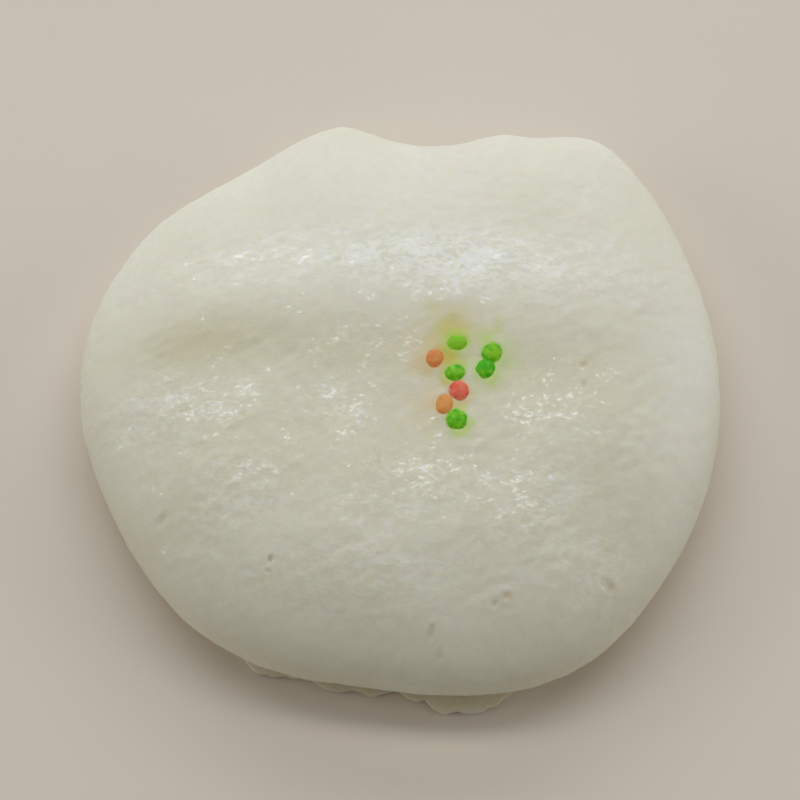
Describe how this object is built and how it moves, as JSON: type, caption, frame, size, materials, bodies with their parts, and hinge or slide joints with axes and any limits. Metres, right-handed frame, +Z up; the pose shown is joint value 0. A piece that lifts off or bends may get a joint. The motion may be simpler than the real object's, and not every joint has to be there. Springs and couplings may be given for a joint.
{
  "type": "fermented rice cake",
  "caption": "Round white steamed rice cake: a flat base, a rounded rim over a thin ragged lip, a low uneven top with a soft hollow across it, and coloured sugar beads sunk near the middle.",
  "frame": {"origin": "middle of the outline's box, on the flat base", "axes": "+Z up through the thickness; -Y towards the viewer; +X to the viewer's right"},
  "size_m": [0.101, 0.0968, 0.0234],
  "materials": {
    "white_crumb": "soft steamed rice crumb, translucent off-white with a moist, faintly pebbled skin",
    "sugar_green": "half melted green sugar",
    "sugar_orange": "half melted pale orange sugar",
    "sugar_red": "half melted red sugar"
  },
  "bodies": {
    "root": {"rice_cake": "white_crumb"}
  },
  "joints": []
}
